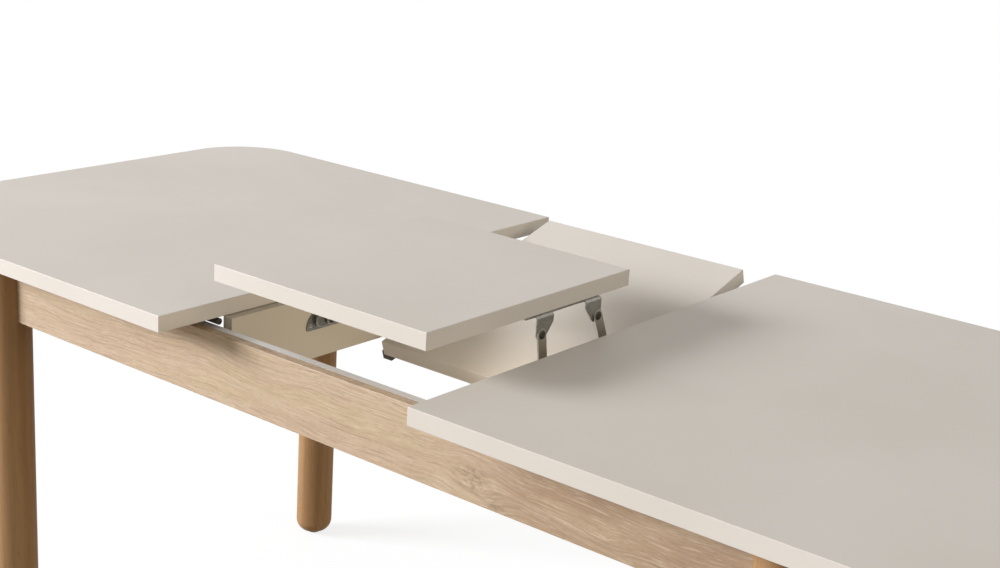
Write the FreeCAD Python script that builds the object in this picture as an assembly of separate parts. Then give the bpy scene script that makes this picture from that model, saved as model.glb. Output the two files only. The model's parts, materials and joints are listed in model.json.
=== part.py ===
import FreeCAD
import Part
import math
import os

# Extending dining table, drawn apart, with one leaf lifted over the gap and one leaf lying tilted in it.
# Millimetres. X runs along the table, Y from the front to the back, Z up from the floor.

# Half tops and leaves
table_height = 760.0
table_width = 900.0
half_top_length = 800.0
top_thickness = 25.0
top_corner_radius = 130.0
panel_edge_radius = 0.8
leaf_length = 400.0
leaf_gap = 1.0
top_pull = 35.0

# Aprons and legs
apron_setback = 82.0
apron_thickness = 16.0
apron_height = 102.0
apron_clearance = 13.0
apron_edge_radius = 1.0
apron_housing = 18.0
leg_diameter = 72.0
leg_end_inset = 79.0
leg_toe_radius = 26.0
foot_diameter = 24.0
foot_height = 3.0

# Corner blocks and leg bolts
block_reach = 95.0
block_margin = 8.0
block_leg_gap = 1.0
leg_bolt_diameter = 8.0
leg_bolt_depth = 24.0
leg_bolt_tail = 12.0
leg_nut_width = 13.0
leg_nut_height = 6.5
washer_diameter = 20.0
washer_thickness = 1.6

# Cross boards
board_thickness = 18.0
board_height = 100.0
board_drop = 1.0
board_rail_gap = 12.0
hinge_space = 20.0
angle_leg = 30.0
angle_height = 40.0
angle_thickness = 2.0
angle_screw_reach = 18.0
angle_screw_margin = 10.0
notch_gap = 4.0

# Rails fixed to the long aprons
rail_width = 13.0
rail_height = 26.0
rail_wall = 2.0
rail_lip = 4.0
rail_drop = 13.0
rail_end_gap = 3.0
rail_screw_count = 6
rail_screw_end = 60.0
rail_screw_length = 14.0

# Sliders fixed to the half tops
slider_thickness = 3.0
slider_flange = 30.0
slider_inset = 40.0
slider_leg_gap = 21.0
tongue_height = 8.0
tongue_tip_gap = 3.0
shoe_length = 40.0
shoe_play = 0.4
shoe_tip = 1.2
shoe_end_margin = 10.0
slider_screw_count = 4
slider_screw_end = 30.0
slider_screw_reach = 16.0
buffer_clearance = 1.0
buffer_drop = 9.0
buffer_setback = 5.0
buffer_grip = 8.0

# Steel arms, ears and pivots at the ends of both leaves
ear_gap = 4.0
ear_thickness = 2.0
ear_width = 37.0
ear_edge = 9.0
ear_shoulder = 12.0
ear_tip_radius = 9.0
flange_depth = 36.0
flange_tail = 20.0
flange_lip = 1.0
flange_screw_reach = 20.0
bend_radius = 2.0
arm_play = 0.3
arm_thickness = 2.5
arm_width = 18.0
pivot_diameter = 8.0
pivot_head_diameter = 13.0
pivot_head_height = 1.2
pivot_shoulder_diameter = 14.0
running_fit = 0.05

# Front leaf, carried on two pairs of equal arms
front_rivet_setback = 232.6
rivet_spacing = 132.0
rivet_drop = 51.7
pivot_drop = 64.0
arm_length = 84.5
arm_lean = 9.0
rear_arm_lean = 24.0
rear_arm_stretch = 40.0

# Back leaf, carried on one pair of arms and lying on the back rail
back_rivet_setback = 150.0
back_rivet_drop = 45.0
back_leaf_tilt = 17.0
back_leaf_slide = 45.5
back_leaf_rest_gap = 0.3
rubber_foot_side = 18.0
rubber_foot_height = 9.0
rubber_foot_margin = 1.0
rubber_foot_overhang = 3.8
rubber_foot_lip = 6.0

# Pivot plates on the cross boards
plate_thickness = 2.5
plate_corner_radius = 26.0
plate_small_radius = 3.0
plate_end = 42.0
plate_below = 15.0
plate_above = 15.0
pad_play = 0.7
pad_end = 28.0
pad_margin = 4.0
pad_corner_radius = 10.0
pad_edge_radius = 2.0
back_plate_half = 24.0
back_plate_radius = 14.0
back_plate_below = 26.0
back_plate_above = 12.0
plate_screw_margin = 8.0
plate_screw_drop = 6.0

# Screws
screw_diameter = 4.0
screw_head_diameter = 8.0
screw_head_height = 1.6
screw_length = 14.0
screw_fit = 0.05

# Levels and planes that follow from them
top_under = table_height - top_thickness
leaf_depth = (table_width - leaf_gap) / 2
leaf_end = leaf_length / 2
front_edge = -table_width / 2
back_edge = table_width / 2
open_end = leaf_end + top_pull
apron_top = top_under - apron_clearance
apron_bottom = apron_top - apron_height
apron_outer = back_edge - apron_setback
apron_inner = apron_outer - apron_thickness
apron_middle = apron_outer - apron_thickness / 2
leg_radius = leg_diameter / 2
leg_x = half_top_length - leg_end_inset
leg_y = apron_middle
rail_top = top_under - rail_drop
rail_bottom = rail_top - rail_height
rail_mouth = apron_inner - rail_width
board_inner = leaf_end + hinge_space
board_outer = board_inner + board_thickness
board_top = top_under - board_drop
board_bottom = board_top - board_height
board_end = rail_mouth - board_rail_gap
slider_middle = rail_mouth - board_rail_gap / 2
slider_start = open_end + slider_inset
slider_finish = leg_x - leg_radius - slider_leg_gap

# Lanes across each leaf end, from the leaf outwards
ear_in = leaf_end + ear_gap
ear_out = ear_in + ear_thickness
arm_in = ear_out + arm_play
arm_out = arm_in + arm_thickness
head_in = arm_out + arm_play
head_out = head_in + pivot_head_height
plate_face = board_inner - plate_thickness
pad_face = head_out + pad_play
pin_head_in = arm_in - arm_play - pivot_head_height

# Front leaf linkage, at rest and laid flat, as (y, z)
deployed_rise = pivot_drop - rivet_drop
deployed_lean = math.acos(deployed_rise / arm_length)
front_rivet_y = front_edge + front_rivet_setback
front_pivot_y = front_rivet_y + arm_length * math.sin(deployed_lean)
front_pivot_z = table_height - pivot_drop
rest_lean = math.radians(arm_lean)
front_shift_y = front_pivot_y - arm_length * math.sin(rest_lean) - front_rivet_y
front_shift_z = arm_length * math.cos(rest_lean) - deployed_rise

# Back leaf linkage, at rest and laid flat, as (y, z)
tilt = math.radians(back_leaf_tilt)
back_far_y = back_edge - back_leaf_slide
back_far_z = rail_top + back_leaf_rest_gap
back_far_z += top_thickness / math.cos(tilt)
back_far_z += (back_far_y - rail_mouth) * math.tan(tilt)
back_rivet_y = back_edge - back_rivet_setback
back_rivet_z = table_height - back_rivet_drop
back_rest_y = back_far_y - back_rivet_setback * math.cos(tilt) + back_rivet_drop * math.sin(tilt)
back_rest_z = back_far_z - back_rivet_setback * math.sin(tilt) - back_rivet_drop * math.cos(tilt)
rivet_dy = back_rivet_y - back_rest_y
rivet_dz = back_rivet_z - back_rest_z
back_pivot_y = back_rivet_y
back_arm_length = (rivet_dy ** 2 + rivet_dz ** 2) / (2 * rivet_dz)
back_pivot_z = back_rivet_z - back_arm_length

tolerance = 0.01
origin = FreeCAD.Vector(0, 0, 0)
along_x = FreeCAD.Vector(1, 0, 0)
along_y = FreeCAD.Vector(0, 1, 0)
along_z = FreeCAD.Vector(0, 0, 1)


def point(x, y, z):
    return FreeCAD.Vector(x, y, z)


def box(x0, x1, y0, y1, z0, z1):
    return Part.makeBox(x1 - x0, y1 - y0, z1 - z0, point(x0, y0, z0))


def rod_x(x0, x1, y, z, radius):
    return Part.makeCylinder(radius, x1 - x0, point(x0, y, z), along_x)


def mirror_x(shape):
    return shape.mirror(origin, along_x)


def mirror_y(shape):
    return shape.mirror(origin, along_y)


def four_corners(shape):
    pair = [shape, mirror_y(shape)]
    return pair + [mirror_x(item) for item in pair]


def outline(corners, radii):
    edges = []
    ends = []
    for i, corner in enumerate(corners):
        to_last = (corners[i - 1] - corner).normalize()
        to_next = (corners[(i + 1) % len(corners)] - corner).normalize()
        radius = radii[i]
        if radius <= 0:
            ends.append((corner, None, corner))
            continue
        half = to_last.getAngle(to_next) / 2
        reach = radius / math.tan(half)
        inward = (to_last + to_next).normalize()
        middle = corner + inward * (radius / math.sin(half) - radius)
        ends.append((corner + to_last * reach, middle, corner + to_next * reach))
    for i, (start, middle, finish) in enumerate(ends):
        if middle is not None:
            edges.append(Part.Arc(start, middle, finish).toShape())
        following = ends[(i + 1) % len(ends)][0]
        if finish.distanceToPoint(following) > tolerance:
            edges.append(Part.LineSegment(finish, following).toShape())
    return Part.Face(Part.Wire(edges))


def sheet_yz(corners, radii, x0, thickness):
    points = [point(x0, y, z) for y, z in corners]
    return outline(points, radii).extrude(along_x * thickness)


def bar_x(corners, x0, x1):
    return sheet_yz(corners, [0] * len(corners), x0, x1 - x0)


def strap(start, finish, x0):
    first = point(x0, start[0], start[1])
    last = point(x0, finish[0], finish[1])
    ahead = (last - first).normalize()
    aside = ahead.cross(along_x)
    reach = arm_width / 2
    edges = [
        Part.LineSegment(first + aside * reach, last + aside * reach).toShape(),
        Part.Arc(last + aside * reach, last + ahead * reach, last - aside * reach).toShape(),
        Part.LineSegment(last - aside * reach, first - aside * reach).toShape(),
        Part.Arc(first - aside * reach, first - ahead * reach, first + aside * reach).toShape(),
    ]
    return Part.Face(Part.Wire(edges)).extrude(along_x * arm_thickness)


def soften(shape, radius):
    return shape.makeFillet(radius, shape.Edges)


def screw(seat, ahead, length):
    shank = Part.makeCylinder(screw_diameter / 2, length, seat, ahead)
    head = Part.makeCylinder(screw_head_diameter / 2, screw_head_height, seat - ahead * screw_head_height, ahead)
    return shank.fuse(head).removeSplitter()


def drill(shape, seats, ahead, length):
    for seat in seats:
        shape = shape.cut(Part.makeCylinder(screw_diameter / 2 + screw_fit, length + screw_fit, seat, ahead))
    return shape


def spaced(first, last, count):
    return [first + (last - first) * i / (count - 1) for i in range(count)]


def export(node, shape):
    solids = shape if isinstance(shape, list) else [shape]
    solids = [solid for item in solids for solid in item.Solids]
    whole = solids[0] if len(solids) == 1 else Part.makeCompound(solids)
    whole.exportStep("parts/%s.step" % node)


def export_sides(node, shape):
    items = shape if isinstance(shape, list) else [shape]
    export("right_" + node, items)
    export("left_" + node, [mirror_x(item) for item in items])


# Frame: aprons, legs, corner blocks

def long_apron_blank():
    reach = leg_x - leg_radius + apron_housing
    return box(-reach, reach, apron_inner, apron_outer, apron_bottom, apron_top)


def end_apron_blank():
    reach = leg_y - leg_radius + apron_housing
    half = apron_thickness / 2
    return box(leg_x - half, leg_x + half, -reach, reach, apron_bottom, apron_top)


def rail_screw_seats():
    reach = leg_x - leg_radius - rail_screw_end
    z = rail_bottom + rail_height / 2
    return [point(x, apron_inner - rail_wall, z) for x in spaced(-reach, reach, rail_screw_count)]


def angle_apron_seats():
    x = board_outer + angle_screw_reach
    return [point(x, apron_inner - angle_thickness, z) for z in angle_screw_levels()]


def make_aprons():
    apron = soften(long_apron_blank(), apron_edge_radius)
    apron = drill(apron, rail_screw_seats(), along_y, rail_screw_length)
    seats = angle_apron_seats()
    seats = seats + [point(-seat.x, seat.y, seat.z) for seat in seats]
    apron = drill(apron, seats, along_y, screw_length)
    export("back_apron", apron)
    export("front_apron", mirror_y(apron))
    export_sides("end_apron", soften(end_apron_blank(), apron_edge_radius))


def leg_bolt_start():
    return point(leg_x, leg_y, (block_bottom() + block_top()) / 2)


def leg_bolt_ahead():
    return point(-1, -1, 0).normalize()


def bolt_face():
    middle_x = leg_x - apron_thickness / 2 - block_reach / 2
    middle_y = apron_inner - block_reach / 2
    away = point(middle_x - leg_x, middle_y - leg_y, 0)
    return away.dot(leg_bolt_ahead())


def leg_bolt(extra):
    start = leg_bolt_start() + leg_bolt_ahead() * (leg_radius - leg_bolt_depth - extra)
    length = bolt_face() + leg_bolt_tail - leg_radius + leg_bolt_depth + extra
    return Part.makeCylinder(leg_bolt_diameter / 2 + extra, length, start, leg_bolt_ahead())


def make_legs():
    shaft = Part.makeCylinder(leg_radius, apron_top - foot_height, point(leg_x, leg_y, foot_height))
    toe = [edge for edge in shaft.Edges if edge.BoundBox.ZMax < foot_height + tolerance]
    shaft = shaft.makeFillet(leg_toe_radius, toe)
    shaft = shaft.cut(long_apron_blank()).cut(end_apron_blank()).cut(leg_bolt(screw_fit))
    names = ["back_right_leg", "front_right_leg", "back_left_leg", "front_left_leg"]
    for name, leg in zip(names, four_corners(shaft)):
        export(name, leg)
    foot = Part.makeCylinder(foot_diameter / 2, foot_height, point(leg_x, leg_y, 0))
    export("leg_feet", four_corners(foot))


def block_bottom():
    return apron_bottom + block_margin


def block_top():
    return rail_bottom - block_margin


def make_corner_blocks():
    side = leg_x - apron_thickness / 2
    z = block_bottom()
    corners = [point(side, apron_inner, z), point(side - block_reach, apron_inner, z)]
    corners.append(point(side, apron_inner - block_reach, z))
    block = outline(corners, [0, 0, 0]).extrude(along_z * (block_top() - z))
    block = block.cut(Part.makeCylinder(leg_radius + block_leg_gap, table_height, point(leg_x, leg_y, 0)))
    block = block.cut(leg_bolt(screw_fit))
    names = ["back_right_block", "front_right_block", "back_left_block", "front_left_block"]
    for name, item in zip(names, four_corners(block)):
        export(name, item)
    export("leg_bolts", four_corners(leg_bolt(0)))
    seat = leg_bolt_start() + leg_bolt_ahead() * bolt_face()
    bore = leg_bolt(screw_fit)
    washer = Part.makeCylinder(washer_diameter / 2, washer_thickness, seat, leg_bolt_ahead())
    export("leg_washers", four_corners(washer.cut(bore)))
    nut_seat = seat + leg_bolt_ahead() * washer_thickness
    across = leg_bolt_ahead().cross(along_z)
    corner_reach = leg_nut_width / math.sqrt(3)
    turns = [math.radians(60 * i) for i in range(6)]
    ring = [nut_seat + (across * math.cos(t) + along_z * math.sin(t)) * corner_reach for t in turns]
    nut = outline(ring, [0] * len(ring)).extrude(leg_bolt_ahead() * leg_nut_height)
    export("leg_nuts", four_corners(nut.cut(bore)))


# Cross boards and the angles that hold them

def angle_top():
    return rail_bottom - block_margin


def angle_screw_levels():
    return [angle_top() - angle_height + angle_screw_margin, angle_top() - angle_screw_margin]


def angle_board_seats():
    y = apron_inner - angle_screw_reach
    return [point(board_outer + angle_thickness, y, z) for z in angle_screw_levels()]


def make_boards():
    notch = rail_bottom - notch_gap
    right_side = [(board_end, board_top), (board_end, notch), (apron_inner, notch), (apron_inner, board_bottom)]
    left_side = [(-y, z) for y, z in reversed(right_side)]
    board = bar_x(left_side + right_side, board_inner, board_outer)
    seats = angle_board_seats()
    seats = seats + [point(seat.x, -seat.y, seat.z) for seat in seats]
    board = drill(board, seats, along_x * -1, screw_length - angle_thickness)
    board = drill(board, front_plate_seats() + back_plate_seats(), along_x, screw_length - plate_thickness)
    for y, z in front_pivots() + back_pivots():
        board = board.cut(rod_x(board_inner, board_outer, y, z, pivot_diameter / 2 + running_fit))
    export_sides("cross_board", board)


def make_board_angles():
    x0 = board_outer
    z0 = angle_top() - angle_height
    flat = box(x0, x0 + angle_leg, apron_inner - angle_thickness, apron_inner, z0, angle_top())
    upright = box(x0, x0 + angle_thickness, apron_inner - angle_leg, apron_inner, z0, angle_top())
    angle = flat.fuse(upright).removeSplitter()
    angle = drill(angle, angle_apron_seats(), along_y, screw_length)
    angle = drill(angle, angle_board_seats(), along_x * -1, screw_length)
    export_sides("board_angles", [angle, mirror_y(angle)])
    to_board = screw_length - angle_thickness
    screws = [screw(seat, along_y, screw_length) for seat in angle_apron_seats()]
    screws += [screw(seat, along_x * -1, to_board) for seat in angle_board_seats()]
    export("angle_screws", [item for one in screws for item in four_corners(one)])


# Rails on the frame

def make_rails():
    reach = leg_x - leg_radius - rail_end_gap
    skin = rail_mouth + rail_wall
    rail = box(-reach, reach, rail_mouth, apron_inner, rail_bottom, rail_top)
    rail = rail.cut(box(-reach, reach, skin, apron_inner - rail_wall, rail_bottom + rail_wall, rail_top - rail_wall))
    lip = rail_wall + rail_lip
    rail = rail.cut(box(-reach, reach, rail_mouth, skin, rail_bottom + lip, rail_top - lip))
    rail = drill(rail, rail_screw_seats(), along_y, rail_screw_length)
    export("back_rail", rail)
    export("front_rail", mirror_y(rail))
    screws = [screw(seat, along_y, rail_screw_length) for seat in rail_screw_seats()]
    export("rail_screws", screws + [mirror_y(item) for item in screws])


# Half tops with their sliders

def slider_screw_seats():
    y = slider_middle - slider_screw_reach
    xs = spaced(slider_start + slider_screw_end, slider_finish - slider_screw_end, slider_screw_count)
    return [point(x, y, top_under - slider_thickness) for x in xs]


def slider_bar(x0, x1):
    outer = slider_middle + slider_thickness / 2
    inner = slider_middle - slider_thickness / 2
    tongue_top = rail_bottom + (rail_height + tongue_height) / 2
    tongue_bottom = tongue_top - tongue_height
    tip = apron_inner - rail_wall - tongue_tip_gap
    corners = [(outer, top_under), (outer, tongue_top), (tip, tongue_top), (tip, tongue_bottom)]
    corners += [(inner, tongue_bottom), (inner, top_under - slider_thickness)]
    corners += [(inner - slider_flange, top_under - slider_thickness), (inner - slider_flange, top_under)]
    return bar_x(corners, x0, x1)


def shoe(x0):
    low = rail_bottom + rail_wall + shoe_play
    high = rail_top - rail_wall - shoe_play
    near = rail_mouth + rail_wall + shoe_play
    far = apron_inner - rail_wall - tongue_tip_gap + shoe_tip
    block = box(x0, x0 + shoe_length, near, far, low, high)
    return block.cut(slider_bar(x0, x0 + shoe_length))


def make_half_tops():
    x1 = open_end + half_top_length
    corners = [point(open_end, front_edge, top_under), point(x1, front_edge, top_under)]
    corners += [point(x1, back_edge, top_under), point(open_end, back_edge, top_under)]
    panel = outline(corners, [0, top_corner_radius, top_corner_radius, 0]).extrude(along_z * top_thickness)
    panel = soften(panel, panel_edge_radius)
    seats = slider_screw_seats()
    panel = drill(panel, seats + [point(s.x, -s.y, s.z) for s in seats], along_z, screw_length)
    export_sides("top_panel", panel)
    slider = drill(slider_bar(slider_start, slider_finish), seats, along_z, screw_length)
    export_sides("back_slider", slider)
    export_sides("front_slider", mirror_y(slider))
    screws = [screw(seat, along_z, screw_length) for seat in seats]
    export_sides("slider_screws", screws + [mirror_y(item) for item in screws])
    last = slider_finish - shoe_end_margin - shoe_length
    shoes = [shoe(x) for x in (slider_start + shoe_end_margin, last)]
    export_sides("glide_shoes", shoes + [mirror_y(item) for item in shoes])
    buffer_radius = board_rail_gap / 2 - buffer_clearance
    grip = slider_start + buffer_grip
    stop = rod_x(open_end + buffer_setback, grip, slider_middle, top_under - buffer_drop, buffer_radius)
    stop = stop.cut(slider_bar(slider_start, grip))
    export_sides("slide_buffers", [stop, mirror_y(stop)])


# Leaf hardware shared by both leaves

def ear_span(y, outward):
    ends = (y - outward * ear_edge, y + outward * (ear_width - ear_edge))
    return min(ends), max(ends)


def edges_at(shape, x, z):
    found = []
    for edge in shape.Edges:
        bounds = edge.BoundBox
        aside = max(abs(bounds.XMin - x), abs(bounds.XMax - x))
        above = max(abs(bounds.ZMin - z), abs(bounds.ZMax - z))
        if max(aside, above) < tolerance:
            found.append(edge)
    return found


def bent_bracket(y0, y1, z, ears):
    under = top_under - ear_thickness
    bracket = box(leaf_end - flange_depth, leaf_end + flange_lip, y0, y1, under, top_under)
    for y, outward in ears:
        low, high = ear_span(y, outward)
        bracket = bracket.fuse(box(leaf_end, ear_out, low, high, under, top_under))
        bracket = bracket.fuse(ear_sheet(y, z, outward))
    bracket = bracket.removeSplitter()
    bracket = bracket.makeFillet(bend_radius, edges_at(bracket, ear_in, under))
    return bracket.makeFillet(bend_radius + ear_thickness, edges_at(bracket, ear_out, top_under))


def ear_sheet(y, z, outward):
    rise = top_under - z
    drop = -ear_tip_radius - running_fit
    inner = ear_width - ear_edge
    corners = [(-ear_edge, rise), (-ear_edge, drop), (ear_tip_radius, drop)]
    corners += [(inner, rise - ear_shoulder), (inner, rise)]
    corners = [(y + outward * dy, z + dz) for dy, dz in corners]
    ear = sheet_yz(corners, [0, ear_tip_radius, ear_tip_radius, 0, 0], ear_in, ear_thickness)
    return ear.cut(rod_x(ear_in, ear_out, y, z, pivot_diameter / 2 + running_fit))


def rivet(y, z):
    shank = rod_x(ear_in, head_out, y, z, pivot_diameter / 2)
    return shank.fuse(rod_x(head_in, head_out, y, z, pivot_head_diameter / 2)).removeSplitter()


def arm(points):
    first, last = points[0], points[-1]
    blank = strap(points[0], points[1], arm_in)
    for start, finish in zip(points[1:], points[2:]):
        blank = blank.fuse(strap(start, finish, arm_in)).removeSplitter()
    for y, z in (first, last):
        blank = blank.cut(rod_x(arm_in, arm_out, y, z, pivot_diameter / 2 + running_fit))
    return blank


def pivot_pin(y, z, shoulder_end):
    pin = rod_x(pin_head_in, board_outer, y, z, pivot_diameter / 2)
    pin = pin.fuse(rod_x(pin_head_in, pin_head_in + pivot_head_height, y, z, pivot_head_diameter / 2))
    pin = pin.fuse(rod_x(head_in, shoulder_end, y, z, pivot_shoulder_diameter / 2))
    return pin.removeSplitter()


def pivot_plate(y0, y1, z0, z1, upper_radius, pivots, seats):
    corners = [(y0, z0), (y1, z0), (y1, z1), (y0, z1)]
    radii = [plate_small_radius, plate_small_radius, upper_radius, upper_radius]
    plate = sheet_yz(corners, radii, plate_face, plate_thickness)
    for y, z in pivots:
        plate = plate.cut(rod_x(plate_face, board_inner, y, z, pivot_diameter / 2 + running_fit))
    return drill(plate, seats, along_x, screw_length)


def raised_pad(y0, y1, z0, z1, pivots):
    corners = [(y0, z0), (y1, z0), (y1, z1), (y0, z1)]
    pad = sheet_yz(corners, [pad_corner_radius] * len(corners), pad_face, plate_face - pad_face)
    rim = [edge for edge in pad.Edges if edge.BoundBox.XMax < pad_face + tolerance]
    pad = pad.makeFillet(pad_edge_radius, rim)
    for y, z in pivots:
        pad = pad.cut(rod_x(pad_face, plate_face, y, z, pivot_diameter / 2 + running_fit))
    return pad


def leaf_panel():
    x0 = -leaf_end
    return soften(box(x0, leaf_end, 0, leaf_depth, top_under, table_height), panel_edge_radius)


# Front leaf on its two pairs of arms

def front_pivots():
    return [(front_pivot_y, front_pivot_z), (front_pivot_y + rivet_spacing, front_pivot_z)]


def front_plate_seats():
    first = front_pivot_y - plate_end + plate_screw_margin
    last = front_pivot_y + rivet_spacing + plate_end - plate_screw_margin
    return [point(plate_face, y, front_pivot_z - plate_screw_drop) for y in (first, last)]


def front_bracket_seats():
    xs = (leaf_end - flange_depth + screw_head_diameter, leaf_end - flange_screw_reach)
    ys = (front_rivet_y, front_rivet_y + rivet_spacing)
    return [point(x, y, top_under - ear_thickness) for x in xs for y in ys]


def lift_front(shape):
    moved = shape.copy()
    moved.translate(point(0, front_shift_y, front_shift_z))
    return moved


def make_front_leaf():
    seats = front_bracket_seats()
    panel = leaf_panel()
    panel.translate(point(0, front_edge, 0))
    panel = drill(panel, seats + [point(-s.x, s.y, s.z) for s in seats], along_z, screw_length)
    export("front_leaf_panel", lift_front(panel))
    z = table_height - rivet_drop
    first = front_rivet_y
    last = front_rivet_y + rivet_spacing
    bracket = bent_bracket(first - ear_edge - flange_tail, last + ear_edge, z, [(first, 1), (last, -1)])
    bracket = drill(bracket, seats, along_z, screw_length)
    export_sides("front_leaf_bracket", lift_front(bracket))
    screws = [lift_front(screw(seat, along_z, screw_length)) for seat in seats]
    export("front_leaf_screws", screws + [mirror_x(item) for item in screws])
    rivets = [lift_front(rivet(y, z)) for y in (first, last)]
    export("front_leaf_rivets", rivets + [mirror_x(item) for item in rivets])


def make_front_arms():
    front_foot, rear_foot = front_pivots()
    rise = (-arm_length * math.sin(rest_lean), arm_length * math.cos(rest_lean))
    front_head = (front_foot[0] + rise[0], front_foot[1] + rise[1])
    rear_head = (rear_foot[0] + rise[0], rear_foot[1] + rise[1])
    lean = math.radians(rear_arm_lean)
    knee = (rear_head[0] + rear_arm_stretch * math.sin(lean), rear_head[1] - rear_arm_stretch * math.cos(lean))
    export_sides("front_arm", arm([front_foot, front_head]))
    export_sides("rear_arm", arm([rear_foot, knee, rear_head]))
    seats = front_plate_seats()
    y0 = front_pivot_y - plate_end
    y1 = front_pivot_y + rivet_spacing + plate_end
    z0 = front_pivot_z - plate_below
    z1 = front_pivot_z + plate_above
    plate = pivot_plate(y0, y1, z0, z1, plate_corner_radius, front_pivots(), seats)
    inset = plate_end - pad_end
    pad = raised_pad(y0 + inset, y1 - inset, z0 + pad_margin, z1 - pad_margin, front_pivots())
    export_sides("front_pivot_plate", plate.fuse(pad).removeSplitter())


# Back leaf on its single pair of arms

def back_pivots():
    return [(back_pivot_y, back_pivot_z)]


def back_plate_seats():
    reach = back_plate_half - plate_screw_margin
    z = back_pivot_z - back_plate_below + plate_screw_margin
    return [point(plate_face, back_pivot_y + side * reach, z) for side in (-1, 1)]


def back_bracket_seats():
    xs = (leaf_end - flange_depth + screw_head_diameter, leaf_end - flange_screw_reach)
    reach = ear_width / 2 + flange_tail / 2
    return [point(x, back_rivet_y + side * reach, top_under - ear_thickness) for x in xs for side in (-1, 1)]


def tilt_back(shape):
    moved = shape.copy()
    moved.rotate(point(0, back_edge, table_height), along_x, back_leaf_tilt)
    moved.translate(point(0, back_far_y - back_edge, back_far_z - table_height))
    return moved


def make_back_leaf():
    seats = back_bracket_seats()
    panel = leaf_panel()
    panel.translate(point(0, back_edge - leaf_depth, 0))
    panel = drill(panel, seats + [point(-s.x, s.y, s.z) for s in seats], along_z, screw_length)
    export("back_leaf_panel", tilt_back(panel))
    y, z = back_rivet_y, back_rivet_z
    reach = ear_width / 2 + flange_tail
    bracket = bent_bracket(y - reach, y + reach, z, [(y, -1)])
    bracket = drill(bracket, seats, along_z, screw_length)
    export_sides("back_leaf_bracket", tilt_back(bracket))
    screws = [tilt_back(screw(seat, along_z, screw_length)) for seat in seats]
    export("back_leaf_screws", screws + [mirror_x(item) for item in screws])
    one = tilt_back(rivet(y, z))
    export("back_leaf_rivets", [one, mirror_x(one)])
    x1 = leaf_end + rubber_foot_overhang
    y0 = back_edge - leaf_depth + rubber_foot_margin
    y1 = y0 + rubber_foot_side
    foot = box(x1 - rubber_foot_side, x1, y0, y1, top_under - rubber_foot_height, top_under)
    foot = foot.fuse(box(leaf_end, x1, y0, y1, top_under, top_under + rubber_foot_lip)).removeSplitter()
    foot = tilt_back(foot)
    export("back_leaf_feet", [foot, mirror_x(foot)])


def make_back_arms():
    foot = (back_pivot_y, back_pivot_z)
    export_sides("back_arm", arm([foot, (back_rest_y, back_rest_z)]))
    y0 = back_pivot_y - back_plate_half
    y1 = back_pivot_y + back_plate_half
    z0 = back_pivot_z - back_plate_below
    z1 = back_pivot_z + back_plate_above
    plate = pivot_plate(y0, y1, z0, z1, back_plate_radius, back_pivots(), back_plate_seats())
    export_sides("back_pivot_plate", plate)


def make_pivot_fixings():
    pins = [pivot_pin(y, z, pad_face) for y, z in front_pivots()]
    pins += [pivot_pin(y, z, plate_face) for y, z in back_pivots()]
    export("pivot_pins", pins + [mirror_x(item) for item in pins])
    seats = front_plate_seats() + back_plate_seats()
    screws = [screw(seat, along_x, screw_length - plate_thickness) for seat in seats]
    export("plate_screws", screws + [mirror_x(item) for item in screws])


os.makedirs("parts", exist_ok=True)
make_aprons()
make_legs()
make_corner_blocks()
make_boards()
make_board_angles()
make_rails()
make_half_tops()
make_front_leaf()
make_front_arms()
make_back_leaf()
make_back_arms()
make_pivot_fixings()

print("front pivot y z", round(front_pivot_y, 3), round(front_pivot_z, 3))
print("front leaf lean from rest to flat", round(math.degrees(deployed_lean) - arm_lean, 4))
print("back pivot y z", round(back_pivot_y, 3), round(back_pivot_z, 3), "arm", round(back_arm_length, 3))
print("back rivet y z", round(back_rest_y, 3), round(back_rest_z, 3))
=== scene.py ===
import bpy
import json
import math
import numpy
from mathutils import Matrix, Vector


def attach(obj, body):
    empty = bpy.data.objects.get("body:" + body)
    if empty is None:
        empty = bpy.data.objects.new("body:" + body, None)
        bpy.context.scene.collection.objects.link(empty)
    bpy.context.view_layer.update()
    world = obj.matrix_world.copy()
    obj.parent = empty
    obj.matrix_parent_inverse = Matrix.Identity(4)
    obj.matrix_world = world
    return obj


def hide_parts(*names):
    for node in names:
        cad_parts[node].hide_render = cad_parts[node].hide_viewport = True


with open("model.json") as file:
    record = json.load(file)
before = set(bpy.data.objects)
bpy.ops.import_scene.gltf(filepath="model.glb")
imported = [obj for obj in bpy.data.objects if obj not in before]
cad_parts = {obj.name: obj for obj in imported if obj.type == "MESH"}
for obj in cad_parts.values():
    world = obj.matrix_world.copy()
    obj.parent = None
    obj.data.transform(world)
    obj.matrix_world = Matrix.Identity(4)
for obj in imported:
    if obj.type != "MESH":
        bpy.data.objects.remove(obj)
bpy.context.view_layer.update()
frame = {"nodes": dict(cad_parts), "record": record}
nodes = frame["nodes"]
slotOf = {part["node"]: part["material_slot"] for part in frame["record"]["subparts"]}
bodyOf = {node: body for body, names in frame["record"]["behaviour"]["bodies"].items() for node in names}


def tone(red, green, blue):
    # a colour as it is read off a screen, turned linear
    def straight(level):
        level = level / 255
        return level / 12.92 if level <= 0.04045 else ((level + 0.055) / 1.055) ** 2.4
    return (straight(red), straight(green), straight(blue), 1)


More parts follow.
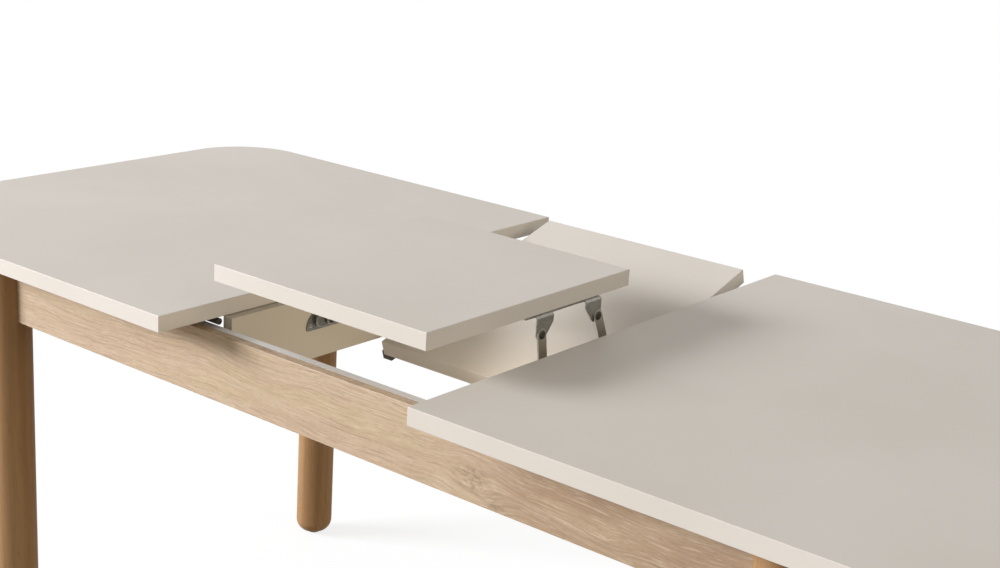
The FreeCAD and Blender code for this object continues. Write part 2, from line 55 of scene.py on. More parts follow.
class Socket:
    # one output of a node, so that shader maths reads as plain sums
    def __init__(self, finish, link):
        self.finish = finish
        self.link = link

    def out(self, name):
        return Socket(self.finish, self.link.node.outputs[name])

    def maths(self, operation, first, second):
        return self.finish.add("ShaderNodeMath", {"operation": operation}, {0: first, 1: second})

    def __add__(self, other):
        return self.maths("ADD", self, other)

    def __radd__(self, other):
        return self.maths("ADD", other, self)

    def __sub__(self, other):
        return self.maths("SUBTRACT", self, other)

    def __rsub__(self, other):
        return self.maths("SUBTRACT", other, self)

    def __mul__(self, other):
        return self.maths("MULTIPLY", self, other)

    def __rmul__(self, other):
        return self.maths("MULTIPLY", other, self)

    def __truediv__(self, other):
        return self.maths("DIVIDE", self, other)

    def __rtruediv__(self, other):
        return self.maths("DIVIDE", other, self)

    def __pow__(self, other):
        return self.maths("POWER", self, other)

    def __rpow__(self, other):
        return self.maths("POWER", other, self)


class Finish:
    # the nodes of one material, or of the room, and the few recipes that they share
    def __init__(self, owner):
        self.owner = owner
        owner.use_nodes = True
        self.tree = owner.node_tree
        self.tree.nodes.clear()

    def add(self, kind, settings, inputs, output=0):
        node = self.tree.nodes.new(kind)
        for name, value in settings.items():
            setattr(node, name, value)
        for name, value in inputs.items():
            if isinstance(value, Socket):
                self.tree.links.new(value.link, node.inputs[name])
            else:
                node.inputs[name].default_value = value
        return Socket(self, node.outputs[output]) if len(node.outputs) else None

    def place(self):
        # where on the table a point lies, in metres
        return self.add("ShaderNodeTexCoord", {}, {}, "Object")

    def split(self, vector):
        parts = self.add("ShaderNodeSeparateXYZ", {}, {0: vector})
        return parts, parts.out("Y"), parts.out("Z")

    def join(self, x, y, z):
        return self.add("ShaderNodeCombineXYZ", {}, {0: x, 1: y, 2: z})

    def grain(self, place, look):
        # a noise; its waves to the metre are one number, or one for each direction
        waves = look["waves"]
        if not isinstance(waves, tuple):
            waves = (waves, waves, waves)
        scaled = self.add("ShaderNodeVectorMath", {"operation": "MULTIPLY"}, {0: place, 1: waves})
        inputs = {"Vector": scaled, "Scale": 1.0, "Detail": look.get("detail", 2.0),
                  "Roughness": look.get("rough", 0.5), "Distortion": look.get("twist", 0.0)}
        return self.add("ShaderNodeTexNoise", {}, inputs)

    def swing(self, noise, amount):
        # a noise about its own middle
        return (noise - 0.5) * amount

    def ease(self, value, low, high):
        # 0 below low, 1 above high and a soft step between
        inputs = {"Value": value, "From Min": low, "From Max": high, "To Min": 0.0, "To Max": 1.0}
        return self.add("ShaderNodeMapRange", {"interpolation_type": "SMOOTHSTEP"}, inputs)

    def mask(self, noise, look):
        return self.ease(noise, look["low"], look["high"])

    def blend(self, share, first, second):
        return self.add("ShaderNodeMix", {"data_type": "RGBA"}, {0: share, 6: first, 7: second}, 2)

    def bump(self, height, look):
        inputs = {"Height": height, "Strength": look["strength"], "Distance": look["depth"]}
        return self.add("ShaderNodeBump", {}, inputs)

    def close(self, inputs):
        surface = self.add("ShaderNodeBsdfPrincipled", {}, inputs)
        self.add("ShaderNodeOutputMaterial", {}, {"Surface": surface})
        return self.owner


def newFinish(name):
    return Finish(bpy.data.materials.new(name))


# Matt cashmere lacquer on the tops and the leaves, and a darker, yellower tone of it on the cross boards
lacquerLook = {
    "colour": tone(211, 204, 195),
    "shade": tone(204, 197, 187),
    "speck": tone(170, 160, 146),
    "speckShare": 0.06,
    "speckSwing": 0.12,
    "roughness": 0.46,
    "ior": 1.46,
    "drift": {"waves": 2.3, "detail": 3, "low": 0.3, "high": 0.7},
    "speckle": {"waves": 2600, "dull": 0.06, "rise": 0.35},
    "peel": {"waves": 420, "detail": 3},
    "handling": {"waves": 11, "detail": 4, "rough": 0.6, "twist": 0.4, "dull": 0.10},
    "bump": {"strength": 0.25, "depth": 0.00006},
}
boardLook = dict(lacquerLook, colour=tone(201, 192, 177), shade=tone(195, 185, 169))


def makeLacquer(name, look):
    f = newFinish(name)
    place = f.place()
    drift = f.grain(place, look["drift"])
    speckle = f.grain(place, look["speckle"])
    peel = f.grain(place, look["peel"])
    handling = f.grain(place, look["handling"])
    colour = f.blend(f.mask(drift, look["drift"]), look["shade"], look["colour"])
    colour = f.blend(f.swing(speckle, look["speckSwing"]) + look["speckShare"], colour, look["speck"])
    roughness = look["roughness"] + f.swing(handling, look["handling"]["dull"])
    roughness = roughness + f.swing(speckle, look["speckle"]["dull"])
    normal = f.bump(peel + speckle * look["speckle"]["rise"], look["bump"])
    return f.close({"Base Color": colour, "Roughness": roughness, "Normal": normal, "IOR": look["ior"]})


# Light oak veneer on the aprons; knots are (along, height, size), and the veneer turns darker, in broad
# streaks, past a set point along the front and left end aprons
oakLook = {
    "light": tone(192, 170, 146),
    "rosy": tone(181, 156, 130),
    "straw": tone(184, 162, 130),
    "dark": tone(138, 113, 90),
    "pore": tone(104, 80, 60),
    "darkStretch": tone(147, 118, 91),
    "comb": tone(208, 188, 163),
    "roughness": 0.5,
    "ior": 1.45,
    "crossways": False,
    "front": {"low": 0.2, "high": -0.2},  # knots show on the front apron, or on the left end one
    "darkStretchSpan": {"low": 0.26, "high": 0.41, "share": 0.72},
    "darkStretchTint": {"low": 0.2, "high": 0.6},
    "knots": ((0.277, 0.652, 0.024), (0.318, 0.628, 0.018)),
    "knot": {"stretch": 1.5, "pushFrom": 0.2, "pushTo": 2.6, "push": 0.55, "lift": 0.25,
             "spotFrom": 0.1, "spotTo": 1.15, "second": 0.8, "share": 0.05},
    "drift": {"waves": (2.6, 5, 1), "swing": 0.075, "layer": 0.0},
    "sway": {"waves": (7, 16, 1), "swing": 0.018, "layer": 3.1},
    "smudge": {"waves": (90, 90, 170), "detail": 3, "rough": 0.6, "low": 0.42, "high": 0.62, "share": 0.5},
    "tint": {"waves": (3.4, 17, 9), "low": 0.34, "high": 0.66},
    "bands": {"waves": (2.0, 46, 20), "detail": 3, "low": 0.3, "high": 0.7, "share": 0.7},
    "rings": {"waves": (1.6, 260, 60), "rough": 0.6, "low": 0.5, "high": 0.75, "share": 0.3, "tone": "dark"},
    "combs": {"waves": (24, 430, 160), "detail": 3, "rough": 0.7, "low": 0.5, "high": 0.66, "share": 0.5,
              "tone": "comb"},
    "ticks": {"waves": (46, 480, 190), "rough": 0.6, "low": 0.56, "high": 0.7, "share": 0.3, "tone": "dark"},
    "dashes": {"waves": (15, 560, 200), "detail": 3, "rough": 0.65, "low": 0.53, "high": 0.68, "share": 0.5,
               "tone": "dark", "dull": 0.12, "sink": 0.5},
    "hairs": {"waves": (9, 950, 300), "detail": 3, "rough": 0.65, "low": 0.5, "high": 0.75, "share": 0.5,
              "tone": "dark", "rise": 0.3},
    "pores": {"waves": (95, 2600, 900), "detail": 1, "low": 0.6, "high": 0.7, "share": 0.4,
              "tone": "pore", "dull": 0.1, "sink": 0.4},
    "bump": {"strength": 0.3, "depth": 0.0001},
}
oakEndLook = dict(oakLook, crossways=True, knots=((-0.14, 0.668, 0.013), (0.19, 0.64, 0.011)))


def oakFlow(f, along, across, look):
    # the fibres wander a little, and part round each knot
    flow = across
    for name in ("drift", "sway"):
        wander = look[name]
        flow = flow + f.swing(f.grain(f.join(along, across, wander["layer"]), wander), wander["swing"])
    knot = look["knot"]
    spots = []
    for knotAlong, knotAcross, size in look["knots"]:
        offAlong = (along - knotAlong) / knot["stretch"]
        offAcross = across - knotAcross
        reach = (offAlong * offAlong + offAcross * offAcross) ** 0.5
        push = 1 - f.ease(reach, size * knot["pushFrom"], size * knot["pushTo"])
        flow = flow - offAcross * push * knot["push"] + push * push * size * knot["lift"]
        spots.append(1 - f.ease(reach, size * knot["spotFrom"], size * knot["spotTo"]))
    return flow, spots[0] + spots[1] * knot["second"]


def makeOak(name, look):
    f = newFinish(name)
    place = f.place()
    along, depth, across = f.split(place)
    if look["crossways"]:  # an end apron runs from front to back
        along, depth = depth, along
    flow, knots = oakFlow(f, along, across, look)
    front = f.mask(depth, look["front"])
    space = f.join(along, flow, depth)
    tint = f.grain(space, look["tint"])
    bands = f.grain(space, look["bands"])
    smudge = f.grain(place, look["smudge"])
    lineNames = ("rings", "combs", "ticks", "dashes", "hairs", "pores")
    lines = {line: f.grain(space, look[line]) for line in lineNames}
    masks = {line: f.mask(noise, look[line]) for line, noise in lines.items()}
    colour = f.blend(f.mask(tint, look["tint"]), look["straw"], look["rosy"])
    colour = f.blend(f.mask(bands, look["bands"]) * look["bands"]["share"], colour, look["light"])
    # a darker tone in broad streaks past a set point along the apron
    darkStretch = f.mask(along, look["darkStretchSpan"]) * front * f.mask(tint, look["darkStretchTint"])
    colour = f.blend(darkStretch * look["darkStretchSpan"]["share"], colour, look["darkStretch"])
    for line, mask in masks.items():
        colour = f.blend(mask * look[line]["share"], colour, look[look[line]["tone"]])
    smudged = look["knot"]["share"] + f.mask(smudge, look["smudge"]) * look["smudge"]["share"]
    colour = f.blend(knots * front * smudged, colour, look["pore"])
    roughness = look["roughness"]
    height = lines["hairs"] * look["hairs"]["rise"]
    for line in ("dashes", "pores"):
        roughness = roughness + masks[line] * look[line]["dull"]
        height = height - masks[line] * look[line]["sink"]
    normal = f.bump(height, look["bump"])
    return f.close({"Base Color": colour, "Roughness": roughness, "Normal": normal, "IOR": look["ior"]})


# Turned solid oak legs, oiled to a dull sheen, with faint upright grain
legLook = {
    "light": tone(167, 132, 95),
    "middle": tone(152, 117, 81),
    "dark": tone(119, 86, 56),
    "pore": tone(89, 62, 40),
    "roughness": 0.5,
    "shine": 0.1,
    "ior": 1.45,
    "drift": {"waves": (9, 9, 2.2), "swing": (0.02, 0.014)},
    "bands": {"waves": (70, 70, 1.6), "detail": 3, "low": 0.3, "high": 0.7, "dull": 0.08},
    "fibre": {"waves": (420, 420, 9), "detail": 3, "rough": 0.6, "low": 0.48, "high": 0.8, "share": 0.3,
              "rise": 0.3},
    "pores": {"waves": (1500, 1500, 40), "rough": 0.6, "low": 0.56, "high": 0.7, "share": 0.3,
              "dull": 0.18, "sink": 0.5},
    "bump": {"strength": 0.25, "depth": 0.00008},
}


def makeLegOak(name, look):
    f = newFinish(name)
    place = f.place()
    x, y, z = f.split(place)
    drift = f.grain(place, look["drift"])
    swingX, swingY = look["drift"]["swing"]
    space = f.join(x + f.swing(drift, swingX), y + f.swing(drift, swingY), z)
    bands = f.grain(space, look["bands"])
    fibre = f.grain(space, look["fibre"])
    pores = f.mask(f.grain(space, look["pores"]), look["pores"])
    colour = f.blend(f.mask(bands, look["bands"]), look["middle"], look["light"])
    colour = f.blend(f.mask(fibre, look["fibre"]) * look["fibre"]["share"], colour, look["dark"])
    colour = f.blend(pores * look["pores"]["share"], colour, look["pore"])
    roughness = look["roughness"] + pores * look["pores"]["dull"] + f.swing(bands, look["bands"]["dull"])
    normal = f.bump(fibre * look["fibre"]["rise"] - pores * look["pores"]["sink"], look["bump"])
    return f.close({"Base Color": colour, "Roughness": roughness, "Normal": normal, "IOR": look["ior"],
                    "Specular IOR Level": look["shine"]})


# Bare beech corner blocks
beechLook = {
    "light": tone(206, 173, 133),
    "dark": tone(178, 141, 101),
    "fleck": tone(140, 100, 66),
    "roughness": 0.62,
    "cloud": {"waves": (30, 30, 9), "detail": 3, "low": 0.3, "high": 0.7},
    "fibre": {"waves": (260, 260, 9), "detail": 4, "rough": 0.6, "low": 0.5, "high": 0.8, "share": 0.5,
              "dull": 0.15},
    "flecks": {"waves": (900, 900, 130), "low": 0.62, "high": 0.7, "share": 0.6, "sink": 0.5},
    "bump": {"strength": 0.4, "depth": 0.0002},
}


def makeBeech(name, look):
    f = newFinish(name)
    place = f.place()
    cloud = f.grain(place, look["cloud"])
    fibre = f.grain(place, look["fibre"])
    flecks = f.mask(f.grain(place, look["flecks"]), look["flecks"])
    colour = f.blend(f.mask(cloud, look["cloud"]), look["dark"], look["light"])
    colour = f.blend(f.mask(fibre, look["fibre"]) * look["fibre"]["share"], colour, look["dark"])
    colour = f.blend(flecks * look["flecks"]["share"], colour, look["fleck"])
    roughness = look["roughness"] + fibre * look["fibre"]["dull"]
    normal = f.bump(fibre - flecks * look["flecks"]["sink"], look["bump"])
    return f.close({"Base Color": colour, "Roughness": roughness, "Normal": normal})


# Metals: drawn aluminium, plain and pressed steel, a darker copy of the pressed steel that paints shade on
# the plates, turned pivots, bright fixings
metalLooks = {
    "aluminium": {"colour": tone(222, 221, 219), "dark": tone(202, 200, 197),
                  "roughness": 0.5, "metal": 0.45, "lines": (3, 900, 900), "cells": 60},
    "steel": {"colour": tone(178, 172, 160), "dark": tone(146, 140, 127),
              "roughness": 0.38, "metal": 0.9, "lines": (160, 160, 160), "cells": 260},
    "pressedSteel": {"colour": tone(160, 158, 151), "dark": tone(82, 80, 75),
                     "roughness": 0.34, "metal": 0.95, "lines": (220, 160, 160), "cells": 320},
    # painted shade: the plates take a darker copy of the pressed steel, for the shade they sit in under the
    # tops and leaves
    "shadedPlateSteel": {"colour": tone(136, 134, 126), "dark": tone(80, 78, 72),
                   "roughness": 0.34, "metal": 0.95, "lines": (220, 160, 160), "cells": 320},
    "steel_pivot": {"colour": tone(72, 70, 65), "dark": tone(46, 44, 41),
                    "roughness": 0.34, "metal": 0.9, "lines": (900, 120, 120), "cells": 420},
    "zinc_fixing": {"colour": tone(150, 148, 140), "dark": tone(112, 110, 102),
                    "roughness": 0.32, "metal": 0.95, "lines": (500, 500, 500), "cells": 700},
}
metalGrain = {
    "drawn": {"detail": 3, "rough": 0.6, "share": 0.35, "dull": 0.16},
    "spangle": {"share": 0.12, "dull": 0.08, "rise": 0.2},
    "smear": {"waves": 38, "detail": 4, "rough": 0.6, "share": 0.5},
    "dark": {"low": 0.3, "high": 0.9, "share": 0.8},
    "bump": {"strength": 0.2, "depth": 0.00005},
}


def makeMetal(name, look, grain):
    f = newFinish(name)
    place = f.place()
    drawn = f.grain(place, dict(grain["drawn"], waves=look["lines"]))
    cells = f.add("ShaderNodeTexVoronoi", {}, {"Vector": place, "Scale": look["cells"]}, "Color")
    spangle = f.split(cells)[0]
    smear = f.grain(place, grain["smear"])
    worn = drawn * grain["drawn"]["share"] + spangle * grain["spangle"]["share"]
    worn = worn + smear * grain["smear"]["share"]
    colour = f.blend(f.mask(worn, grain["dark"]) * grain["dark"]["share"], look["colour"], look["dark"])
    roughness = look["roughness"] + f.swing(drawn, grain["drawn"]["dull"])
    roughness = roughness + f.swing(spangle, grain["spangle"]["dull"])
    normal = f.bump(drawn + spangle * grain["spangle"]["rise"], grain["bump"])
    inputs = {"Base Color": colour, "Roughness": roughness, "Normal": normal, "Metallic": look["metal"]}
    return f.close(inputs)


# Moulded nylon shoes and glides, black rubber buffers
plasticLooks = {
    "nylon": {"colour": tone(66, 64, 61), "dark": tone(48, 46, 44), "roughness": 0.5, "waves": 1400},
    "rubber": {"colour": tone(86, 79, 72), "dark": tone(64, 57, 50), "roughness": 0.72, "waves": 2200},
}
plasticGrain = {
    "cloud": {"waves": 70, "detail": 3, "low": 0.3, "high": 0.7},
    "skin": {"detail": 3, "dull": 0.2},
    "bump": {"strength": 0.4, "depth": 0.00008},
}


def makePlastic(name, look, grain):
    f = newFinish(name)
    place = f.place()
    skin = f.grain(place, dict(grain["skin"], waves=look["waves"]))
    cloud = f.grain(place, grain["cloud"])
    colour = f.blend(f.mask(cloud, grain["cloud"]), look["dark"], look["colour"])
    roughness = look["roughness"] + f.swing(skin, grain["skin"]["dull"])
    normal = f.bump(skin, grain["bump"])
    return f.close({"Base Color": colour, "Roughness": roughness, "Normal": normal})


finishes = {
    "lacquer": makeLacquer("cashmereLacquer", lacquerLook),
    "lacquer_board": makeLacquer("cashmereBoard", boardLook),
    "oak": makeOak("oakVeneer", oakLook),
    "oakEnd": makeOak("oakEndVeneer", oakEndLook),
    "oak_leg": makeLegOak("oakLeg", legLook),
    "block_wood": makeBeech("beechBlock", beechLook),
}
for slot, look in metalLooks.items():
    finishes[slot] = makeMetal(slot, look, metalGrain)
for slot, look in plasticLooks.items():
    finishes[slot] = makePlastic(slot, look, plasticGrain)
print("finishes made:", len(finishes))

# Nodes whose name holds the word, in that slot, take a finish of their own
specialFinishes = (
    ("end_apron", "oak", "oakEnd"),
    ("bracket", "steel", "pressedSteel"),
    # the plates get the darker steel that paints their shade
    ("plate", "steel", "shadedPlateSteel"),
)


def finishOf(node):
    for word, slot, special in specialFinishes:
        if word in node and slot == slotOf[node]:
            return finishes[special]
    return finishes[slotOf[node]]


for node in slotOf:
    mesh = nodes[node].data
    mesh.materials.clear()
    mesh.materials.append(finishOf(node))
print("finishes set on", len(slotOf), "nodes")


# Small turned pieces: a CAD solid gives the axis and the outline, the formed detail is lathed on it;
# weld and digits count decimals, bands are in metres, sharp is in degrees
latheLook = {"weld": 6, "digits": 5, "endBand": 1e-6, "levelBand": 2e-5, "radiusBand": 3e-5, "sharp": 38,
             "roundOfRadius": 0.3, "roundOfLength": 0.4, "bevel": 0.3, "tip": 0.8}


def looseSolids(mesh):
    spots, parent, index = {}, [], []
    for vertex in mesh.vertices:
        key = tuple(round(c, latheLook["weld"]) for c in vertex.co)
        if key not in spots:
            spots[key] = len(parent)
            parent.append(len(parent))
        index.append(spots[key])

    def root(i):
        while parent[i] != i:
            i = parent[i]
        return i

    for edge in mesh.edges:
        parent[root(index[edge.vertices[0]])] = root(index[edge.vertices[1]])
    groups = {}
    for key, i in spots.items():
        groups.setdefault(root(i), []).append(key)
    return [numpy.array(group) for group in groups.values()]


def turnedAxis(points):
    # the direction whose spread differs from the other two, pointing from the wide end to the narrow one
    middle = (points.max(axis=0) + points.min(axis=0)) / 2
    spread, ways = numpy.linalg.eigh(numpy.cov((points - middle).T))
    axis = ways[:, 2] if spread[2] - spread[1] > spread[1] - spread[0] else ways[:, 0]
    along = (points - middle) @ axis
    away = numpy.linalg.norm(points - middle - numpy.outer(along, axis), axis=1)
    band = latheLook["endBand"]
    if away[along > along.max() - band].max() > away[along < along.min() + band].max() + band:
        axis, along = -axis, -along
    return middle + axis * along.min(), axis, along - along.min(), away


def wallsOf(along, away):
    # the solid's own silhouette: (start, finish, radius) of each cylinder in turn
    digits = latheLook["digits"]
    levels = sorted(set(numpy.round(along, digits)))
    radii = [set(numpy.round(away[abs(along - level) < latheLook["levelBand"]], digits)) for level in levels]
    walls = []
    for i in range(len(levels) - 1):
        both = [a for a in radii[i] if min(abs(a - b) for b in radii[i + 1]) < latheLook["radiusBand"]]
        walls.append((levels[i], levels[i + 1], max(both)))
    return walls


def wallRings(walls, look, crowned):
    # a small round on each outer corner, and a thread on the last wall where the look has one
    bevel = latheLook["bevel"]
    rings = []
    for i, (start, finish, radius) in enumerate(walls):
        before = walls[i - 1][2] if i else 0
        after = walls[i + 1][2] if i + 1 < len(walls) else 0
        most = min(radius * latheLook["roundOfRadius"], (finish - start) * latheLook["roundOfLength"])
        soft = min(look["round"], most)
        if radius > before and not (crowned and i == 0):
            rings += [(start, radius - soft), (start + soft * bevel, radius - soft * bevel)]
        rings.append((start + (soft if radius > before else 0), radius))
        if "pitch" in look and i == len(walls) - 1:
            turns = int((finish - start - radius) / look["pitch"])
            for k in range(1, turns):
                rings.append((start + k * look["pitch"], radius))
                rings.append((start + (k + 0.5) * look["pitch"], radius * look["root"]))
            soft = radius * latheLook["tip"]
        rings.append((finish - (soft if radius > after else 0), radius))
        if radius > after:
            rings += [(finish - soft * bevel, radius - soft * bevel), (finish, radius - soft)]
    return rings


class Lathe:
    # gathers rings round an axis into one mesh
    def __init__(self):
        self.points = []
        self.faces = []

    def turn(self, start, axis, rings, count, form=None, loop=False):
        axis = Vector(axis)
        side = axis.orthogonal().normalized()
        cross = axis.cross(side)
        first = len(self.points)
        for level, radius in rings:
            for i in range(count):
                turn = 2 * math.pi * i / count
                depth, reach = form(turn, level, radius) if form else (level, radius)
                way = side * math.cos(turn) + cross * math.sin(turn)
                self.points.append(Vector(start) + axis * depth + way * reach)
        rows = [first + r * count for r in range(len(rings))]
        for a, b in zip(rows, rows[1:] + rows[:1] if loop else rows[1:]):
            for i in range(count):
                j = (i + 1) % count
                self.faces.append([a + i, a + j, b + j, b + i])
        if not loop:
            self.faces.append([first + i for i in reversed(range(count))])
            self.faces.append([rows[-1] + i for i in range(count)])

    def place(self, name, node):
        mesh = bpy.data.meshes.new(name)
        mesh.from_pydata(self.points, [], self.faces)
        mesh.shade_smooth()
        mesh.set_sharp_from_angle(angle=math.radians(latheLook["sharp"]))
        piece = bpy.data.objects.new(name, mesh)
        bpy.context.scene.collection.objects.link(piece)
        slot = slotOf[node]
        mesh.materials.append(finishes[slot])
        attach(piece, bodyOf[node])
        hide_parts(node)
        return len(self.faces)


# Crowns are (share of the radius, share of the height below the top), from the middle to the rim
turnedLooks = {
    "screw": {"steps": 40, "round": 0.0002, "pitch": 0.0014, "root": 0.78,
              "crown": [(0.08, 0.0), (0.16, 0.0), (0.24, 0.01), (0.32, 0.02), (0.40, 0.04), (0.48, 0.06),
                        (0.56, 0.09), (0.64, 0.13), (0.74, 0.19), (0.84, 0.28), (0.92, 0.40), (0.97, 0.52),
                        (1.0, 0.68)],
              "recess": {"depth": 0.62, "reach": 0.56, "half": 0.13, "slope": 0.07, "fall": 0.4,
                         "above": 0.5}},
    "rivet": {"steps": 48, "round": 0.0003,
              "crown": [(0.06, 0.30), (0.14, 0.28), (0.20, 0.16), (0.26, 0.04), (0.34, 0.0), (0.55, 0.03),
                        (0.74, 0.12), (0.86, 0.26), (0.94, 0.45), (0.985, 0.66), (1.0, 0.82)]},
    "bolt": {"steps": 32, "round": 0.0006, "pitch": 0.00125, "root": 0.86},
    "buffer": {"steps": 36, "round": 0.0012,
               "crown": [(0.10, 0.0), (0.5, 0.01), (0.75, 0.03), (0.88, 0.07), (0.96, 0.12), (1.0, 0.2)]},
}
turnedNodes = {
    "screw": ["angle_screws", "rail_screws", "plate_screws", "left_slider_screws", "right_slider_screws",
              "front_leaf_screws", "back_leaf_screws"],
    "rivet": ["front_leaf_rivets", "back_leaf_rivets", "pivot_pins"],
    "bolt": ["leg_bolts"],
    "buffer": ["left_slide_buffers", "right_slide_buffers"],
}


def crossRecess(look, height, reach):
    # sinks a cross into the upper part of the head, deepest in the middle
    def form(turn, level, radius):
        if level >= height * look["above"]:
            return level, radius
        x, y = abs(radius * math.cos(turn)) / reach, abs(radius * math.sin(turn)) / reach
        wide, narrow = max(x, y), min(x, y)
        inArm = min(1, max(0, (look["half"] - narrow) / look["slope"] + 0.5))
        inReach = min(1, max(0, (look["reach"] - wide) / look["slope"]))
        sunk = look["depth"] * inArm * inReach * (1 - look["fall"] * wide / look["reach"])
        return level + height * sunk, radius
    return form


def turnNode(node, look):
    lathe = Lathe()
    for points in looseSolids(nodes[node].data):
        start, axis, along, away = turnedAxis(points)
        walls = wallsOf(along, away)
        height, reach = walls[0][1], walls[0][2]
        crown = [(height * deep, reach * share) for share, deep in look.get("crown", [])]
        rings = wallRings(walls, look, bool(crown))
        if crown:
            rings = crown + [ring for ring in rings if ring[0] > crown[-1][0]]
        form = crossRecess(look["recess"], height, reach) if "recess" in look else None
        lathe.turn(start, axis, rings, look["steps"], form)
    return lathe.place(node + "_turned", node)


# Hexagon nuts with chamfered corners, and washers with a rolled edge: edge is a share of the height,
# bevel a share of the edge, and the hexagon's own numbers are shares of its width
ringLooks = {
    "leg_nuts": {"steps": 72, "edge": 0.2, "bevel": 0.3,
                 "hexagon": {"flat": 0.97, "rise": 0.09, "bore": 0.4}},
    "leg_washers": {"steps": 48, "edge": 0.2, "bevel": 0.3},
}


def nutForm(look, width, height, chamfer):
    def form(turn, level, radius):
        flat = width / 2 / math.cos((turn + math.pi / 6) % (math.pi / 3) - math.pi / 6)
        fromEnd = min(level, height - level)
        limit = width / 2 * look["flat"] + fromEnd / chamfer * width * look["rise"]
        return level, radius if radius < width * look["bore"] else min(flat, limit)
    return form


def ringNode(node, look):
    lathe = Lathe()
    for points in looseSolids(nodes[node].data):
        start, axis, along, away = turnedAxis(points)
        height, bore, reach = along.max(), away.min(), away.max()
        soft = height * look["edge"]
        bevel = soft * look["bevel"]
        form = None
        if "hexagon" in look:
            levels = [0, soft / 2, soft, height / 2, height - soft, height - soft / 2, height]
            rings = [(0, bore + bevel)] + [(level, reach) for level in levels]
            rings += [(height, bore + bevel), (height - bevel, bore), (bevel, bore)]
            form = nutForm(look["hexagon"], reach * math.sqrt(3), height, soft)
        else:
            rings = [(0, bore), (0, reach - soft), (bevel, reach - bevel), (soft, reach)]
            rings += [(height - soft, reach), (height - bevel, reach - bevel)]
            rings += [(height, reach - soft), (height, bore)]
        lathe.turn(start, axis, rings, look["steps"], form, True)
    return lathe.place(node + "_turned", node)


faceCount = sum(turnNode(node, turnedLooks[kind]) for kind, names in turnedNodes.items() for node in names)
faceCount += sum(ringNode(node, look) for node, look in ringLooks.items())
print("turned pieces made:", faceCount, "faces")


# Stage: a pale floor that keeps the table's shadow and fades into white
stageLook = {"reach": 24.0, "pale": (0.34, 0.29, 0.22, 1), "seen": (0.22, 0.22, 0.22, 1), "veil": 0.81,
             "fade": {"low": 1.1, "high": 2.6}}


def seenDirectly(f):
    # 1 for what the camera, a shiny face or glass looks at
    path = f.add("ShaderNodeLightPath", {}, {}, "Is Camera Ray")
    seen = path.maths("MAXIMUM", path, path.out("Is Glossy Ray"))
    return seen.maths("MAXIMUM", seen, path.out("Is Transmission Ray"))


def makeFloor(look):
    f = newFinish("paleFloor")
    x, y = f.split(f.place())[:2]
    far = f.mask((x * x + y * y) ** 0.5, look["fade"])
    bounce = f.add("ShaderNodeBsdfDiffuse", {}, {"Color": look["pale"]})
    shade = f.add("ShaderNodeBsdfDiffuse", {}, {"Color": look["seen"]})
    veil = f.add("ShaderNodeEmission", {}, {"Strength": look["veil"]})
    near = f.add("ShaderNodeAddShader", {}, {0: shade, 1: veil})
    white = f.add("ShaderNodeEmission", {}, {"Strength": 1.0})
    faded = f.add("ShaderNodeMixShader", {}, {0: far, 1: near, 2: white})
    mixed = f.add("ShaderNodeMixShader", {}, {0: seenDirectly(f), 1: bounce, 2: faded})
    below = f.add("ShaderNodeNewGeometry", {}, {}, "Backfacing")  # the floor doesn't hide the underside
    clear = f.add("ShaderNodeBsdfTransparent", {}, {})
    sided = f.add("ShaderNodeMixShader", {}, {0: below, 1: mixed, 2: clear})
    f.add("ShaderNodeOutputMaterial", {}, {"Surface": sided})
    reach = look["reach"]
    mesh = bpy.data.meshes.new("floor")
    corners = [(-reach, -reach, 0), (reach, -reach, 0), (reach, reach, 0), (-reach, reach, 0)]
    mesh.from_pydata(corners, [], [(0, 1, 2, 3)])
    mesh.materials.append(f.owner)
    floor = bpy.data.objects.new("floor", mesh)
    bpy.context.scene.collection.objects.link(floor)


# Light: a far, wide soft box low at the front left, a warm low fill from the right, an even room,
# and inside the gap the warm light that the lit boards throw on each other
lightLook = {
    "key": {"power": 2600, "size": (5.5, 2.4), "distance": 13.0, "turn": -49, "rise": 17,
            "colour": (0.98, 1.0, 1.05)},
    "fill": {"strength": 0.75, "spread": 40, "distance": 1.0, "turn": 92, "rise": 21,
             "colour": (1.0, 0.92, 0.78)},
    "glow": {"power": 0.54, "size": (0.22, 0.06), "place": (0.187, -0.145, 0.692), "from": (1, 0, 0),
             "colour": (1.0, 0.91, 0.75)},
    "room": (0.35, 0.34, 0.326, 1),
    "aim": (0, 0, 0.72),
}


def towards(look):
    # turn is the angle from the table's front towards its right end, rise the angle above the floor
    turn, rise = math.radians(look["turn"]), math.radians(look["rise"])
    return Vector((math.sin(turn) * math.cos(rise), -math.cos(turn) * math.cos(rise), math.sin(rise)))


def areaLamp(name, look):
    lamp = bpy.data.lights.new(name, "AREA")
    lamp.shape = "RECTANGLE"
    lamp.size, lamp.size_y = look["size"]
    lamp.energy = look["power"]
    return lamp


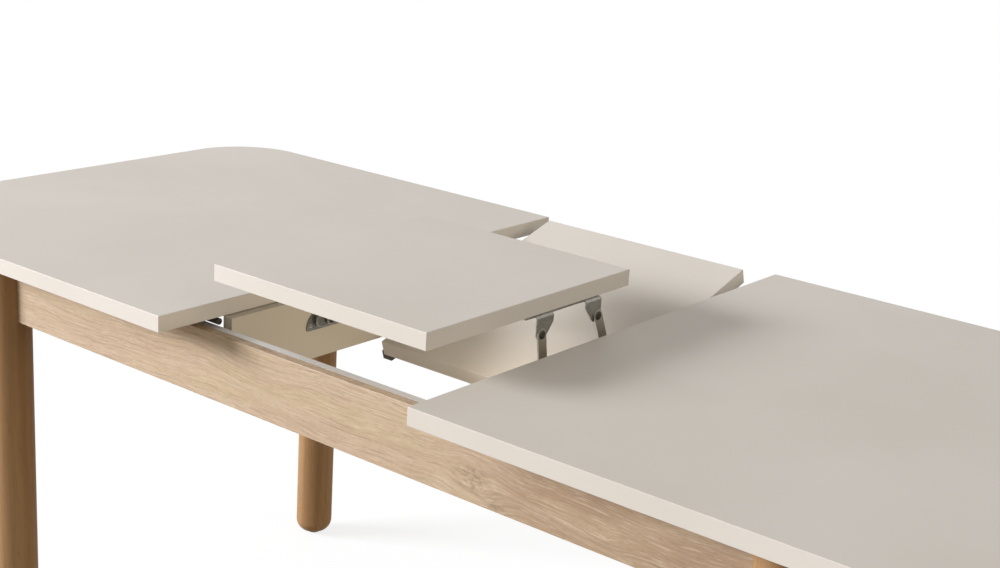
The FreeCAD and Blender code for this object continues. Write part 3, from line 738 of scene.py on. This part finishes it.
def hang(lamp, look, place, source):
    # the lamp shines away from its source direction
    lamp.color = look["colour"]
    holder = bpy.data.objects.new(lamp.name, lamp)
    holder.location = place
    holder.rotation_euler = source.to_track_quat("Z", "Y").to_euler()
    bpy.context.scene.collection.objects.link(holder)
    return holder


def makeLight(look):
    key, fill, glow = look["key"], look["fill"], look["glow"]
    sun = bpy.data.lights.new("fillLight", "SUN")
    sun.energy = fill["strength"]
    sun.angle = math.radians(fill["spread"])
    for lamp, part in ((areaLamp("keyLight", key), key), (sun, fill)):
        hang(lamp, part, Vector(look["aim"]) + towards(part) * part["distance"], towards(part))
    holder = hang(areaLamp("gapGlow", glow), glow, glow["place"], Vector(glow["from"]))
    holder.visible_camera = False
    holder.visible_glossy = False


def makeRoom(colour):
    world = bpy.data.worlds.new("room")
    bpy.context.scene.world = world
    f = Finish(world)
    shown = f.blend(seenDirectly(f), colour, (1, 1, 1, 1))
    backdrop = f.add("ShaderNodeBackground", {}, {"Color": shown})
    f.add("ShaderNodeOutputWorld", {}, {"Surface": backdrop})


makeFloor(stageLook)
makeLight(lightLook)
makeRoom(lightLook["room"])
print("stage and light made")

# Camera, solved from the straight edges of the tops: place in metres, angles in radians
cameraLook = {"place": (1.464507, -1.848317, 1.476368), "heading": 0.66529, "dip": 0.28877, "roll": -0.06215,
              "focalPixels": 1618.957, "framePixels": 1000, "sensor": 36.0}


def makeCamera(look):
    heading, dip, roll = look["heading"], look["dip"], look["roll"]
    ahead = Vector((-math.sin(heading) * math.cos(dip), math.cos(heading) * math.cos(dip), -math.sin(dip)))
    level = Vector((math.cos(heading), math.sin(heading), 0))
    down = ahead.cross(level)
    right = level * math.cos(roll) + down * math.sin(roll)
    up = level * math.sin(roll) - down * math.cos(roll)
    lens = bpy.data.cameras.new("camera")
    lens.sensor_width = look["sensor"]
    lens.lens = look["sensor"] * look["focalPixels"] / look["framePixels"]
    camera = bpy.data.objects.new("camera", lens)
    turn = Matrix((right, up, -ahead)).transposed().to_4x4()
    camera.matrix_world = Matrix.Translation(look["place"]) @ turn
    bpy.context.scene.collection.objects.link(camera)
    bpy.context.scene.camera = camera


makeCamera(cameraLook)
bpy.context.scene.view_settings.view_transform = "Standard"
print("camera set")
